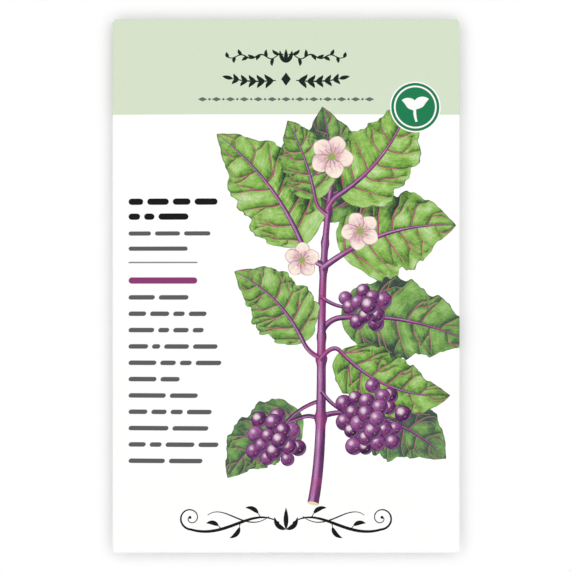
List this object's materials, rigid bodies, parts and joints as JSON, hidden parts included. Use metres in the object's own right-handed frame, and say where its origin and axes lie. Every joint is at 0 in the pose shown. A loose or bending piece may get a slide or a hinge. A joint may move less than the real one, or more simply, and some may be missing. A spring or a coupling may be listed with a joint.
{
  "type": "seed packet",
  "caption": "Flat folded paper packet with a glued side seam and glued end flaps, sealed round loose seeds.",
  "frame": {"origin": "middle of the packet's outline, on the surface that it lies on, under its flaps", "axes": "+Y towards the packet's top edge, +Z out of its printed front, +X to the right of the printed front"},
  "size_m": [0.0826, 0.127, 0.0034],
  "materials": {
    "paper": "printed white paper with a faint sheen: pale green band, botanical print, dark ink",
    "seed_coat": "dull dark brown seed coat, finely pitted"
  },
  "bodies": {
    "root": {"packet_paper": "paper", "seeds": "seed_coat"}
  },
  "joints": []
}
